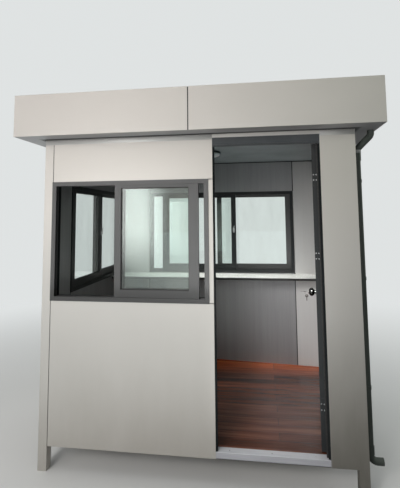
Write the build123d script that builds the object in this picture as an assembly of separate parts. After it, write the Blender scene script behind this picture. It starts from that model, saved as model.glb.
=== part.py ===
from build123d import *
import math
import os

# A guard booth: a box of flat sandwich panels between four corner posts that run
# down as legs, with a deep fascia box for a roof edge, four sliding windows and
# one hinged door. Millimetres, +Z up, ground at Z = 0, front towards -Y, and the
# origin under the middle of the plan.

# Heights
leg_height = 150.0
wall_height = 1955.0
floor_rise = 40.0

# Structure
post_size = 58.0
post_wall = 3.0
beam_width = 50.0
joist_height = 40.0
joist_width = 40.0
joist_count = 4
deck_thickness = 15.0
covering_thickness = 3.0

# Wall panels
wall_thickness = 58.0
skin_thickness = 4.0
panel_seam = 4.0

# Curled back margin of the floor covering
curl_depth = 320.0
curl_height_left = 86.0
curl_height_right = 20.0

# Windows
window_sill = 896.0
window_height = 772.0
front_window_width = 1044.0
back_window_width = 1400.0
back_window_margin = 267.0
side_window_width = 1102.0
side_window_margin = 285.0
side_window_far_margin = 93.0
frame_face = 28.0
frame_web = 4.0
frame_proud = 6.0
flange_thickness = 4.0
sash_thickness = 25.0
sash_overlap = 60.0
lock_stile = 62.0
meeting_stile = 42.0
sash_bottom_rail = 73.0
sash_top_rail = 40.0
sash_top_clearance = 4.0
glass_thickness = 5.0
glass_pocket = 8.0
front_outer_slide = 60.0
front_inner_slide = 415.0
back_inner_slide = 127.0

# Door
mullion_width = 28.0
door_opening_width = 661.0
pier_width = 151.0
door_head_strip = 26.0
door_head_height = 46.0
jamb_web = 4.0
stop_lip = 12.0
stop_setback = 6.0
stop_depth = 14.0
door_gap = 5.0
door_sill_gap = 8.0
leaf_thickness = 30.0
leaf_stile = 92.0
leaf_bottom_rail = 150.0
leaf_mid_rail = 90.0
leaf_mid_rail_height = 770.0
leaf_panel_thickness = 14.0
door_open_angle = 98.0
sill_plate_thickness = 3.0
sill_plate_depth = 58.0
sill_plate_drop = 35.0

# Hinges and knob
hinge_height = 100.0
hinge_plate_width = 27.0
hinge_plate_thickness = 2.0
hinge_level_low = 259.0
hinge_level_middle = 1143.0
hinge_level_high = 1628.0
knuckle_radius = 6.0
pin_radius = 3.0
pin_clearance = 0.05
knuckle_gap = 0.5
knob_radius = 26.0
knob_face_radius = 16.0
knob_neck_radius = 11.0
knob_neck_end = 30.0
knob_widest = 45.0
knob_reach = 60.0
knob_backset = 60.0
knob_level = 824.0
rose_radius = 31.0
rose_thickness = 8.0
rose_slope = 2.0

# Counter and light
counter_depth = 300.0
counter_thickness = 18.0
counter_drop = 6.0
light_radius = 115.0
light_depth = 35.0
light_rim = 14.0

# Roof edge
overhang = 145.0
bracket_spacing = 0.6
fascia_height = 272.0
fascia_thickness = 4.0
fascia_return = 34.0
fascia_seam = 4.0
ceiling_thickness = 40.0
soffit_thickness = 4.0
roof_tube = 30.0
roof_slope = 3.0
sheet_thickness = 1.5
rib_pitch = 240.0
rib_height = 26.0
rib_top = 30.0
rib_base = 70.0
purlin_width = 40.0
purlin_reach = 850.0
gutter_width = 56.0
gutter_depth = 60.0
gutter_wall = 2.0
sheet_gutter_clearance = 4.0
sheet_lip = 20.0
sheet_side_gap = 3.0

# Downspout
pipe_radius = 21.0
pipe_wall = 2.0
pipe_standoff = 4.0
pipe_hole_gap = 1.0
pipe_front_margin = 87.0
pipe_bend_radius = 40.0
pipe_offset_drop = 30.0
pipe_shoe_level = 157.0
pipe_shoe_reach = 98.0
coupling_radius = 24.5
coupling_length = 46.0
coupling_drop = 24.0
clip_thickness = 2.5
clip_height = 20.0
clip_foot_half = 12.0
clip_level_low = 420.0
clip_level_middle = 1050.0
clip_level_high = 1640.0

# How far a cutting solid runs past what it cuts
cut_margin = 1.0

# Plan size, from what stands along the front and side walls
booth_width = 2 * post_size + front_window_width + mullion_width + door_opening_width + pier_width
booth_depth = side_window_margin + side_window_width + side_window_far_margin

# Levels and half sizes that follow from the values above
half_width = booth_width / 2
half_depth = booth_depth / 2
panel_bottom = leg_height
floor_top = panel_bottom + floor_rise
deck_top = floor_top - covering_thickness
wall_top = panel_bottom + wall_height
window_bottom = panel_bottom + window_sill
window_top = window_bottom + window_height
front_run = half_width - post_size
side_run = half_depth - post_size
room_x = half_width - wall_thickness
room_y = half_depth - wall_thickness
hinge_levels = (hinge_level_low, hinge_level_middle, hinge_level_high)
clip_levels = (clip_level_low, clip_level_middle, clip_level_high)


def block(x0, x1, y0, y1, z0, z1):
    """A box given by its low and high faces."""
    centre = Pos((x0 + x1) / 2, (y0 + y1) / 2, (z0 + z1) / 2)
    return centre * Box(x1 - x0, y1 - y0, z1 - z0)


def ring(outer, inner, y0, y1):
    """A rectangular ring in XZ, from (x0, x1, z0, z1) to (x0, x1, z0, z1)."""
    hole = block(inner[0], inner[1], y0 - cut_margin, y1 + cut_margin, inner[2], inner[3])
    return block(outer[0], outer[1], y0, y1, outer[2], outer[3]) - hole


def on_wall(side):
    """Wall frame: X along the wall, Y inward from the outer face, Z up."""
    turn = {"front": 0, "right": 90, "back": 180, "left": -90}[side]
    reach = half_depth if side in ("front", "back") else half_width
    return Rot(0, 0, turn) * Pos(0, -reach, 0)


def wall_panel(side, x0, x1, z0, z1, lap=0.0):
    """A sandwich panel; with a lap, its outer skin runs down over the base beam."""
    corners = [(wall_thickness, z0), (wall_thickness, z1), (0, z1)]
    if lap > 0:
        corners += [(0, z0 - lap), (skin_thickness, z0 - lap), (skin_thickness, z0)]
    else:
        corners.append((0, z0))
    face = Plane.YZ.offset(x0) * make_face(Polyline(*corners, close=True))
    return on_wall(side) * extrude(face, x1 - x0)


def at_corners(shape):
    """Four copies of a centred shape, one where each leg stands."""
    x = half_width - post_size / 2
    y = half_depth - post_size / 2
    return [Pos(sx * x, sy * y, 0) * shape for sx in (-1, 1) for sy in (-1, 1)]


def corner_posts():
    """Square tubes from the ground to the ceiling, capped at the foot."""
    bore = post_size - 2 * post_wall
    tube = extrude(Rectangle(post_size, post_size), wall_top)
    tube -= Pos(0, 0, post_wall) * extrude(Rectangle(bore, bore), wall_top)
    return Compound(at_corners(tube))


def base_frame():
    """Perimeter beams between the legs and joists under the deck."""
    outer_y = half_depth - skin_thickness
    outer_x = half_width - skin_thickness
    frame = block(-front_run, front_run, -outer_y, -outer_y + beam_width, panel_bottom, deck_top)
    frame += block(-front_run, front_run, outer_y - beam_width, outer_y, panel_bottom, deck_top)
    for sx in (-1, 1):
        centre = sx * (outer_x - beam_width / 2)
        frame += block(centre - beam_width / 2, centre + beam_width / 2, -side_run, side_run,
                       panel_bottom, deck_top)
    top = deck_top - deck_thickness
    inner_y = outer_y - beam_width
    step = 2 * front_run / (joist_count + 1)
    for i in range(joist_count):
        x = -front_run + step * (i + 1)
        frame += block(x - joist_width / 2, x + joist_width / 2, -inner_y, inner_y,
                       top - joist_height, top)
    return frame


def floor_deck():
    """Board on the joists, notched round the legs."""
    x = half_width - skin_thickness - beam_width
    y = half_depth - skin_thickness - beam_width
    deck = block(-x, x, -y, y, deck_top - deck_thickness, deck_top)
    for leg in at_corners(Box(post_size, post_size, 2 * wall_top)):
        deck -= leg
    return deck


def curl_section(x, height):
    """End of the curl: an arc that leaves the floor level and meets the back wall."""
    start = room_y - curl_depth
    tip = (room_y, deck_top + height)
    upper_tip = (room_y - covering_thickness, deck_top + height + covering_thickness)
    under = TangentArc((start, deck_top), tip, tangent=(1, 0))
    over = TangentArc((start, floor_top), upper_tip, tangent=(1, 0))
    ends = Line(tip, upper_tip) + Line((start, deck_top), (start, floor_top))
    return Plane.YZ.offset(x) * make_face(under + over + ends)


def floor_covering():
    """Sheet floor whose back margin curls up unevenly against the back wall."""
    flat = block(-room_x, room_x, -room_y, room_y - curl_depth, deck_top, floor_top)
    left_end = curl_section(-room_x, curl_height_left)
    right_end = curl_section(room_x, curl_height_right)
    return flat + loft([left_end, right_end])


def door_threshold():
    """Bent metal sill over the base beam, between the door jambs."""
    x0, x1 = door_span()
    t = sill_plate_thickness
    section = Polyline(
        (0, floor_top - sill_plate_drop),
        (t, floor_top - sill_plate_drop),
        (t, deck_top),
        (sill_plate_depth, deck_top),
        (sill_plate_depth, floor_top),
        (0, floor_top),
        close=True,
    )
    face = Plane.YZ.offset(x0) * make_face(section)
    return on_wall("front") * extrude(face, x1 - x0)


def door_span():
    x0 = -front_run + front_window_width + mullion_width
    return x0, x0 + door_opening_width


def window_span(side):
    """Ends of each window along its wall, seen from outside."""
    if side == "front":
        return -front_run, -front_run + front_window_width
    if side == "back":
        x0 = -half_width + back_window_margin
        return x0, x0 + back_window_width
    if side == "right":
        x0 = -half_depth + side_window_margin
        return x0, x0 + side_window_width
    x1 = half_depth - side_window_margin
    return x1 - side_window_width, x1


def front_wall():
    x0, x1 = window_span("front")
    door0, door1 = door_span()
    lap = deck_top - panel_bottom
    lower = wall_panel("front", x0 + panel_seam, door0, deck_top, window_bottom, lap)
    upper = wall_panel("front", x0 + panel_seam, door0, window_top, wall_top)
    mullion = wall_panel("front", x1, door0, window_bottom + panel_seam, window_top - panel_seam)
    pier = wall_panel("front", door1, front_run, deck_top, wall_top, lap)
    strip = wall_panel("front", door0, door1, wall_top - door_head_strip, wall_top)
    return lower, upper, mullion, pier, strip


def window_wall(side):
    """Lower and upper panels and the two full-height piers of a closed wall."""
    run = front_run if side == "back" else side_run
    x0, x1 = window_span(side)
    lap = deck_top - panel_bottom
    lower = wall_panel(side, x0, x1, deck_top, window_bottom, lap)
    upper = wall_panel(side, x0, x1, window_top, wall_top)
    piers = wall_panel(side, -run, x0 - panel_seam, deck_top, wall_top, lap)
    piers += wall_panel(side, x1 + panel_seam, run, deck_top, wall_top, lap)
    return lower, upper, piers


def window_frame(side):
    """Two-track frame: a thin web with three flanges, so each sash has a channel."""
    x0, x1 = window_span(side)
    outer = (x0, x1, window_bottom, window_top)
    web_hole = (x0 + frame_web, x1 - frame_web, window_bottom + frame_web, window_top - frame_web)
    light = (x0 + frame_face, x1 - frame_face, window_bottom + frame_face, window_top - frame_face)
    y0 = -frame_proud
    y1 = wall_thickness + frame_proud
    middle = (y0 + y1 - flange_thickness) / 2
    frame = ring(outer, web_hole, y0, y1)
    for y in (y0, middle, y1 - flange_thickness):
        frame += ring(outer, light, y, y + flange_thickness)
    return on_wall(side) * frame


def sash_width(side):
    x0, x1 = window_span(side)
    return (x1 - x0 - 2 * frame_web + sash_overlap) / 2


def track_centre(track):
    """Depth of the middle of the outer or inner channel."""
    quarter = (wall_thickness + 2 * frame_proud - 3 * flange_thickness) / 4
    middle = wall_thickness / 2
    offset = quarter + flange_thickness / 2
    return middle - offset if track == "outer" else middle + offset


def sash(side, track, closes, slide):
    """One sash and its pane, slid away from the side that it closes to."""
    x0, x1 = window_span(side)
    width = sash_width(side)
    left = x0 + frame_web + slide if closes == "left" else x1 - frame_web - width - slide
    right = left + width
    bottom = window_bottom + frame_web
    top = window_top - frame_web - sash_top_clearance
    stiles = (lock_stile, meeting_stile) if closes == "left" else (meeting_stile, lock_stile)
    light = (left + stiles[0], right - stiles[1], bottom + sash_bottom_rail, top - sash_top_rail)
    y = track_centre(track)
    frame = ring((left, right, bottom, top), light, y - sash_thickness / 2, y + sash_thickness / 2)
    pane = block(light[0] - glass_pocket, light[1] + glass_pocket,
                 y - glass_thickness / 2, y + glass_thickness / 2,
                 light[2] - glass_pocket, light[3] + glass_pocket)
    return on_wall(side) * (frame - pane), on_wall(side) * pane


def window_sashes(side):
    """Both sashes of a window as they stand, and both panes."""
    closes = {"front": ("right", "left"), "back": ("left", "right"),
              "left": ("left", "right"), "right": ("right", "left")}[side]
    slides = {"front": (front_outer_slide, front_inner_slide), "back": (0, back_inner_slide),
              "left": (0, 0), "right": (0, 0)}[side]
    outer, outer_pane = sash(side, "outer", closes[0], slides[0])
    inner, inner_pane = sash(side, "inner", closes[1], slides[1])
    return outer + inner, outer_pane + inner_pane


def door_frame():
    """Jambs and head with a stop lip that the leaf closes against."""
    x0, x1 = door_span()
    head_top = wall_top - door_head_strip
    head_bottom = head_top - door_head_height
    frame = block(x0, x0 + jamb_web, 0, wall_thickness, floor_top, head_top)
    frame += block(x1 - jamb_web, x1, 0, wall_thickness, floor_top, head_top)
    frame += block(x0, x1, 0, wall_thickness, head_bottom, head_top)
    y0 = stop_setback
    y1 = stop_setback + stop_depth
    frame += block(x0, x0 + stop_lip, y0, y1, floor_top, head_top)
    frame += block(x1 - stop_lip, x1, y0, y1, floor_top, head_top)
    frame += block(x0, x1, y0, y1, head_bottom - stop_lip + jamb_web, head_top)
    return on_wall("front") * frame


def leaf_box():
    """Closed leaf in the front wall frame: x0, x1, y0, y1, z0, z1."""
    x0, x1 = door_span()
    top = wall_top - door_head_strip - door_head_height - door_gap
    return (x0 + jamb_web + door_gap, x1 - jamb_web - door_gap,
            wall_thickness - leaf_thickness, wall_thickness,
            floor_top + door_sill_gap, top)


def hinge_axis():
    """Pin line in the part's own frame."""
    x = leaf_box()[1] + door_gap / 2
    y = -half_depth + wall_thickness + knuckle_radius
    return x, y


def swung(shape):
    """Turns a closed door piece to the open position that it stands in."""
    x, y = hinge_axis()
    return Pos(x, y, 0) * Rot(0, 0, -door_open_angle) * Pos(-x, -y, 0) * shape


def door_leaf():
    """Leaf frame with a glazed upper light and a panelled lower one."""
    x0, x1, y0, y1, z0, z1 = leaf_box()
    rail0 = z0 + leaf_mid_rail_height
    rail1 = rail0 + leaf_mid_rail
    lower = (x0 + leaf_stile, x1 - leaf_stile, z0 + leaf_bottom_rail, rail0)
    upper = (x0 + leaf_stile, x1 - leaf_stile, rail1, z1 - leaf_stile)
    frame = ring((x0, x1, z0, z1), lower, y0, y1)
    frame -= block(upper[0], upper[1], y0 - cut_margin, y1 + cut_margin, upper[2], upper[3])
    middle = (y0 + y1) / 2
    infill = []
    for light, thickness in ((lower, leaf_panel_thickness), (upper, glass_thickness)):
        infill.append(block(light[0] - glass_pocket, light[1] + glass_pocket,
                            middle - thickness / 2, middle + thickness / 2,
                            light[2] - glass_pocket, light[3] + glass_pocket))
    frame = frame - infill[0] - infill[1]
    wall = on_wall("front")
    return swung(wall * frame), swung(wall * infill[0]), swung(wall * infill[1])


def hinges():
    """Frame halves with the pins, and leaf halves that turn on them."""
    x1 = leaf_box()[1]
    axis_x, axis_y = hinge_axis()
    face_y = -half_depth + wall_thickness
    jamb_x = x1 + door_gap
    fixed = []
    moving = []
    third = hinge_height / 3
    for level in hinge_levels:
        low = floor_top + level - hinge_height / 2
        bands = [low, low + third, low + 2 * third, low + hinge_height]
        plate = block(jamb_x - hinge_plate_thickness, jamb_x, face_y - hinge_plate_width, face_y,
                      low, low + hinge_height)
        pin = Pos(axis_x, axis_y, low + hinge_height / 2) * Cylinder(pin_radius, hinge_height)
        half = plate + pin
        for k in (0, 2):
            length = third - knuckle_gap / 2
            z = bands[k] if k == 0 else bands[k] + knuckle_gap / 2
            half += Pos(axis_x, axis_y, z + length / 2) * Cylinder(knuckle_radius, length)
            half += block(jamb_x - hinge_plate_thickness, jamb_x, face_y - hinge_plate_thickness,
                      axis_y, z, z + length)
        fixed.append(half)
        length = third - knuckle_gap
        z = bands[1] + knuckle_gap / 2
        wing = block(x1, x1 + hinge_plate_thickness, face_y - hinge_plate_width, face_y,
                     low, low + hinge_height)
        wing += block(x1, x1 + hinge_plate_thickness, face_y - hinge_plate_thickness,
                      axis_y, z, z + length)
        wing += Pos(axis_x, axis_y, z + length / 2) * Cylinder(knuckle_radius, length)
        bore = Cylinder(pin_radius + pin_clearance, length + 2 * cut_margin)
        wing -= Pos(axis_x, axis_y, z + length / 2) * bore
        moving.append(swung(wing))
    return Compound(fixed), Compound(moving)


def knob_profile():
    """Half section of the knob, out from the leaf face along +Y of the sketch."""
    rose = Polyline(
        (0, 0),
        (rose_radius, 0),
        (rose_radius - rose_slope, rose_thickness),
        (knob_neck_radius, rose_thickness),
        (knob_neck_radius, knob_neck_end),
    )
    grip = ThreePointArc((knob_neck_radius, knob_neck_end), (knob_radius, knob_widest),
                         (knob_face_radius, knob_reach))
    close = Polyline((knob_face_radius, knob_reach), (0, knob_reach), (0, 0))
    return make_face(rose + grip + close)


def door_knob():
    """Round knobs on both faces, at the leading edge of the leaf."""
    x0, _, y0, y1, _, _ = leaf_box()
    turned = revolve(Plane.XZ * knob_profile(), Axis.Z)
    centre_x = x0 + knob_backset
    level = floor_top + knob_level
    outside = Pos(centre_x, y0, level) * Rot(90, 0, 0) * turned
    inside = Pos(centre_x, y1, level) * Rot(-90, 0, 0) * turned
    return swung(on_wall("front") * outside) + swung(on_wall("front") * inside)


def counter():
    top = window_bottom - counter_drop
    return block(-room_x, room_x, room_y - counter_depth, room_y, top - counter_thickness, top)


def ceiling_light():
    """Round surface light with a softened rim."""
    drum = Cylinder(light_radius, light_depth)
    rim = drum.edges().group_by(Axis.Z)[0]
    return Pos(0, 0, wall_top - light_depth / 2) * fillet(rim, light_rim)


def ceiling_panel():
    return block(-half_width, half_width, -half_depth, half_depth,
                 wall_top, wall_top + ceiling_thickness)


def pipe_axis():
    """Downspout line: drop under the gutter, and wall stretch."""
    drop_x = half_width + overhang - fascia_thickness - gutter_width / 2
    wall_x = half_width + pipe_standoff + pipe_radius
    y = -half_depth + pipe_front_margin
    return drop_x, wall_x, y


def soffit():
    """Flat sheet ring under the overhang, with a hole for the downspout."""
    x = half_width + overhang - fascia_thickness
    y = half_depth + overhang - fascia_thickness
    z1 = wall_top + soffit_thickness
    sheet = block(-x, x, -y, y, wall_top, z1)
    sheet -= block(-half_width, half_width, -half_depth, half_depth,
                   wall_top - cut_margin, z1 + cut_margin)
    drop_x, _, pipe_y = pipe_axis()
    hole = Cylinder(pipe_radius + pipe_hole_gap, 4 * soffit_thickness)
    return sheet - Pos(drop_x, pipe_y, wall_top) * hole


def fascia_section(face_y):
    """Fascia section: a tall face with a return at its top, facing inward."""
    z1 = wall_top + fascia_height
    return Polyline(
        (face_y, wall_top),
        (face_y, z1),
        (face_y + fascia_return, z1),
        (face_y + fascia_return, z1 - fascia_thickness),
        (face_y + fascia_thickness, z1 - fascia_thickness),
        (face_y + fascia_thickness, wall_top),
        close=True,
    )


def fascia_run(reach, x0, x1):
    face = Plane.YZ.offset(x0) * make_face(fascia_section(-reach))
    return extrude(face, x1 - x0)


def fascias():
    """Front and back in two panels each with a seam, sides in one."""
    reach_y = half_depth + overhang
    reach_x = half_width + overhang
    long_run = fascia_run(reach_y, -reach_x, -fascia_seam / 2)
    long_run += fascia_run(reach_y, fascia_seam / 2, reach_x)
    inner = reach_y - fascia_thickness
    short_run = fascia_run(reach_x, -inner, inner)
    z1 = wall_top + fascia_height
    edge = reach_y - fascia_return
    for low, high in ((-reach_y, -edge), (edge, reach_y)):
        short_run -= block(low, high, -reach_x - cut_margin, reach_x,
                           z1 - fascia_thickness, z1 + cut_margin)
    return long_run, Rot(0, 0, 180) * long_run, Rot(0, 0, -90) * short_run, Rot(0, 0, 90) * short_run


def fascia_ring():
    """Tube ring under the fascia's top return."""
    x = half_width + overhang - fascia_thickness
    y = half_depth + overhang - fascia_thickness
    t = roof_tube
    top = wall_top + fascia_height - fascia_thickness
    bars = block(-x, x, -y, y, top - t, top)
    return bars - block(-x + t, x - t, -y + t, y - t, top - t - cut_margin, top + cut_margin)


def fascia_brackets():
    """Outriggers from the ceiling panel, with uprights that carry the ring."""
    x = half_width + overhang - fascia_thickness
    y = half_depth + overhang - fascia_thickness
    t = roof_tube
    low = wall_top + soffit_thickness
    top = wall_top + fascia_height - fascia_thickness - t
    long_arm = block(-t / 2, t / 2, -y, -half_depth, low, low + t)
    long_arm += block(-t / 2, t / 2, -y, -y + t, low, top)
    side_arm = block(-t / 2, t / 2, -x, -half_width, low, low + t)
    upright = block(-t / 2, t / 2, -x, -x + t, low, top)
    brackets = []
    for share in (-bracket_spacing, 0, bracket_spacing):
        brackets.append(Pos(share * half_width, 0, 0) * long_arm)
        brackets.append(Rot(0, 0, 180) * Pos(share * half_width, 0, 0) * long_arm)
        shift = Pos(share * half_depth, 0, 0)
        brackets.append(Rot(0, 0, -90) * shift * (side_arm + upright))
        brackets.append(Rot(0, 0, 90) * shift * side_arm)
    corner = block(-x, -x + t, -y, -y + t, low, top)
    brackets += [corner, Rot(0, 0, 180) * corner]
    corner = block(x - t, x, -y, -y + t, low, top)
    brackets += [corner, Rot(0, 0, 180) * corner]
    return Compound(brackets)


def gutter_box():
    """Gutter outside sizes: x0, x1, y0, y1, z0, z1."""
    x1 = half_width + overhang - fascia_thickness
    y = half_depth + overhang - fascia_thickness - roof_tube
    z0 = wall_top + soffit_thickness + roof_tube
    return x1 - gutter_width, x1, -y, y, z0, z0 + gutter_depth


def gutter():
    """Channel along the right side: a floor with the outlet, two walls and two ends."""
    x0, x1, y0, y1, z0, z1 = gutter_box()
    w = gutter_wall
    drop_x, _, pipe_y = pipe_axis()
    outlet = Cylinder(pipe_radius - pipe_wall, 4 * gutter_wall)
    floor = block(x0, x1, y0, y1, z0, z0 + w) - Pos(drop_x, pipe_y, z0) * outlet
    walls = [block(x0, x0 + w, y0, y1, z0 + w, z1), block(x1 - w, x1, y0, y1, z0 + w, z1)]
    ends = [block(x0 + w, x1 - w, y0, y0 + w, z0 + w, z1),
            block(x0 + w, x1 - w, y1 - w, y1, z0 + w, z1)]
    return Compound([floor] + walls + ends)


def sheet_underside():
    """Point on the underside of the roof sheet at the gutter, and the slope."""
    x0, _, _, _, _, z1 = gutter_box()
    return x0, z1 + sheet_gutter_clearance, math.tan(math.radians(roof_slope))


def roof_sheet():
    """Trapezoidal sheet that falls to the gutter."""
    gutter_x, gutter_z, slope = sheet_underside()
    inset = fascia_thickness + roof_tube + sheet_side_gap
    y_half = half_depth + overhang - inset
    left = -(half_width + overhang - inset)
    right = gutter_x + sheet_lip
    length = (right - left) / math.cos(math.radians(roof_slope))
    count = int(2 * y_half // rib_pitch)
    first = -rib_pitch * (count - 1) / 2
    top = [(-y_half, 0)]
    for i in range(count):
        centre = first + i * rib_pitch
        top += [(centre - rib_base / 2, 0), (centre - rib_top / 2, rib_height)]
        top += [(centre + rib_top / 2, rib_height), (centre + rib_base / 2, 0)]
    top.append((y_half, 0))
    under = [(y, z - sheet_thickness) for y, z in reversed(top)]
    face = Plane.YZ * make_face(Polyline(*top, *under, close=True))
    sheet = extrude(face, length)
    start_z = gutter_z + (gutter_x - left) * slope
    lift = sheet_thickness / math.cos(math.radians(roof_slope))
    return Pos(left, 0, start_z + lift) * Rot(0, roof_slope, 0) * sheet


def roof_purlins():
    """Packers on the ceiling panel, their tops cut to the fall of the sheet."""
    gutter_x, gutter_z, slope = sheet_underside()
    base = wall_top + ceiling_thickness
    purlins = []
    for x in (-purlin_reach, 0, purlin_reach):
        x0 = x - purlin_width / 2
        x1 = x + purlin_width / 2
        z0 = gutter_z + (gutter_x - x0) * slope
        z1 = gutter_z + (gutter_x - x1) * slope
        outline = Polyline((x0, base), (x1, base), (x1, z1), (x0, z0), close=True)
        face = Plane.XZ.offset(-half_depth) * make_face(outline)
        purlins.append(extrude(face, 2 * half_depth))
    return Compound(purlins)


def downspout():
    """Pipe from the gutter, in to the wall and down to a shoe that points out."""
    drop_x, wall_x, y = pipe_axis()
    top = gutter_box()[4]
    bend = wall_top - pipe_offset_drop
    inset = drop_x - wall_x
    path = FilletPolyline(
        (drop_x, y, top),
        (drop_x, y, bend),
        (wall_x, y, bend - inset),
        (wall_x, y, pipe_shoe_level),
        (half_width + pipe_shoe_reach, y, pipe_shoe_level),
        radius=pipe_bend_radius,
    )
    section = Circle(pipe_radius) - Circle(pipe_radius - pipe_wall)
    pipe = sweep(Plane(origin=path @ 0, z_dir=path % 0) * section, path=path)
    sleeve = extrude(Circle(coupling_radius) - Circle(pipe_radius), coupling_length)
    for level in (bend - inset - coupling_drop - coupling_length,
                  pipe_shoe_level + pipe_bend_radius):
        pipe += Pos(wall_x, y, level) * sleeve
    return pipe


def downspout_clips():
    """Bands round the pipe with a foot against the wall."""
    _, wall_x, y = pipe_axis()
    clips = []
    for level in clip_levels:
        z = panel_bottom + level
        band = Pos(wall_x, y, z) * Cylinder(pipe_radius + clip_thickness, clip_height)
        foot = block(half_width, wall_x, y - clip_foot_half, y + clip_foot_half,
                     z - clip_height / 2, z + clip_height / 2)
        bore = Pos(wall_x, y, z) * Cylinder(pipe_radius, clip_height + 2 * cut_margin)
        outside = block(half_width, wall_x + 2 * pipe_radius, y - 2 * pipe_radius,
                        y + 2 * pipe_radius, z - clip_height, z + clip_height)
        clips.append((band + foot - bore) & outside)
    return Compound(clips)


def all_parts():
    parts = {}
    parts["corner_posts"] = corner_posts()
    parts["base_frame"] = base_frame()
    parts["floor_deck"] = floor_deck()
    parts["floor_covering"] = floor_covering()
    parts["door_threshold"] = door_threshold()
    names = ("front_lower_panel", "front_upper_panel", "front_mullion", "front_pier",
             "door_head_strip")
    parts.update(zip(names, front_wall()))
    for side in ("left", "right", "back"):
        names = (side + "_lower_panel", side + "_upper_panel", side + "_piers")
        parts.update(zip(names, window_wall(side)))
    panes = []
    for side in ("front", "left", "right", "back"):
        parts[side + "_window_frame"] = window_frame(side)
        sashes, glass = window_sashes(side)
        parts[side + "_window_sashes"] = sashes
        panes += list(glass.solids())
    parts["window_glass"] = Compound(panes)
    parts["door_frame"] = door_frame()
    names = ("door_leaf", "door_lower_panel", "door_glass")
    parts.update(zip(names, door_leaf()))
    parts["frame_hinges"], parts["leaf_hinges"] = hinges()
    parts["door_knob"] = door_knob()
    parts["counter"] = counter()
    parts["ceiling_light"] = ceiling_light()
    parts["ceiling_panel"] = ceiling_panel()
    parts["soffit"] = soffit()
    names = ("front_fascia", "back_fascia", "left_fascia", "right_fascia")
    parts.update(zip(names, fascias()))
    parts["fascia_ring"] = fascia_ring()
    parts["fascia_brackets"] = fascia_brackets()
    parts["roof_purlins"] = roof_purlins()
    parts["roof_sheet"] = roof_sheet()
    parts["gutter"] = gutter()
    parts["downspout"] = downspout()
    parts["downspout_clips"] = downspout_clips()
    return parts


os.makedirs("parts", exist_ok=True)
for node, shape in all_parts().items():
    export_step(shape, "parts/" + node + ".step")
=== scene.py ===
import math

import bpy
from mathutils import Matrix, Vector


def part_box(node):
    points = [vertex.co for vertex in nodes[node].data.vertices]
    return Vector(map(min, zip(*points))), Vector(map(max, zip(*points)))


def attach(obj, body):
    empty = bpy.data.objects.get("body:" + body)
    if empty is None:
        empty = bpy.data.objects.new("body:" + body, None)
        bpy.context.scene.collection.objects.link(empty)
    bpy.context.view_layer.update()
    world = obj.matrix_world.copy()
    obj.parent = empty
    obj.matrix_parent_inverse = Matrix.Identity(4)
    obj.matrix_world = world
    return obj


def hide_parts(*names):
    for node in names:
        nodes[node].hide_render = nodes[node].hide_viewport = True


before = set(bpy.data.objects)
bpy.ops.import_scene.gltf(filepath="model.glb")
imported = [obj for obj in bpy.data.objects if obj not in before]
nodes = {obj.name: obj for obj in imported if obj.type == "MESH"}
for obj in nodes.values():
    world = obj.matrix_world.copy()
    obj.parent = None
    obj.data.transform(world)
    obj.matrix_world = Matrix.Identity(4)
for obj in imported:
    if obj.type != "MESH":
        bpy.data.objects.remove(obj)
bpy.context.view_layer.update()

bpy.ops.object.select_all(action="DESELECT")
scene = bpy.context.scene
scene.view_settings.view_transform = "Standard"

# The view is that of someone standing about two and a half metres in front of the
# door side, looking slightly left and up. Place, lens and shift follow the
# straight edges of the booth.
view = bpy.data.objects.new("view", bpy.data.cameras.new("view"))
view.data.sensor_width = 36
view.data.lens = 29.83
view.data.shift_y = -0.132
view.location = (0.419, -3.261, 1.577)
view.rotation_euler = [math.radians(a) for a in (95.3115, 0.5306, 8.3629)]
scene.collection.objects.link(view)
scene.camera = view


# The studio has a pale floor that fades into a pale surround, a soft key lamp to
# the front left, weaker lamps overhead, to the right and behind, and a bright
# card that only gloss sees. In gloss the right side is darker and greener.
def put(tree, kind, **values):
    """A new shader node with these settings and unlinked inputs."""
    node = tree.nodes.new("ShaderNode" + kind)
    for key, value in values.items():
        if hasattr(node, key):
            setattr(node, key, value)
        else:
            node.inputs[key.replace("_", " ")].default_value = value
    return node


def worked(operation, *values):
    """A Math node on sockets and numbers."""
    sockets = [value for value in values if not isinstance(value, (int, float))]
    node = put(sockets[0].id_data, "Math", operation=operation)
    for socket, value in zip(node.inputs, values):
        if value in sockets:
            node.id_data.links.new(value, socket)
        else:
            socket.default_value = value
    return node.outputs[0]


def between(value, low, high, to_low, to_high, smooth=False):
    """value mapped from low..high to to_low..to_high, clamped."""
    tree = value.id_data
    fit = put(tree, "MapRange", interpolation_type="SMOOTHSTEP" if smooth else "LINEAR")
    for socket, number in zip(list(fit.inputs)[1:5], (low, high, to_low, to_high)):
        socket.default_value = number
    tree.links.new(value, fit.inputs[0])
    return fit.outputs[0]


def coordinate(tree, axis, kind="Object"):
    where = put(tree, "TexCoord")
    split = put(tree, "SeparateXYZ")
    tree.links.new(where.outputs[kind], split.inputs[0])
    return split.outputs[axis]


def mixed(share, under, over):
    """The colour over laid on the colour under by share."""
    tree = share.id_data
    mix = put(tree, "Mix", data_type="RGBA")
    tree.links.new(share, mix.inputs["Factor"])
    for socket, colour in ((mix.inputs[6], under), (mix.inputs[7], over)):
        if isinstance(colour, tuple):
            socket.default_value = (*colour, 1)
        else:
            tree.links.new(colour, socket)
    return mix.outputs[2]


def blended(share, under, over):
    """The shader over laid on the shader under by share."""
    tree = share.id_data
    mix = put(tree, "MixShader")
    tree.links.new(share, mix.inputs[0])
    tree.links.new(under, mix.inputs[1])
    tree.links.new(over, mix.inputs[2])
    return mix.outputs[0]


def rays(tree):
    """1 where the camera looks, through glass too, and 1 where gloss looks."""
    path = put(tree, "LightPath").outputs
    return worked("MAXIMUM", path["Is Camera Ray"], path["Is Transmission Ray"]), path["Is Glossy Ray"]


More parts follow.
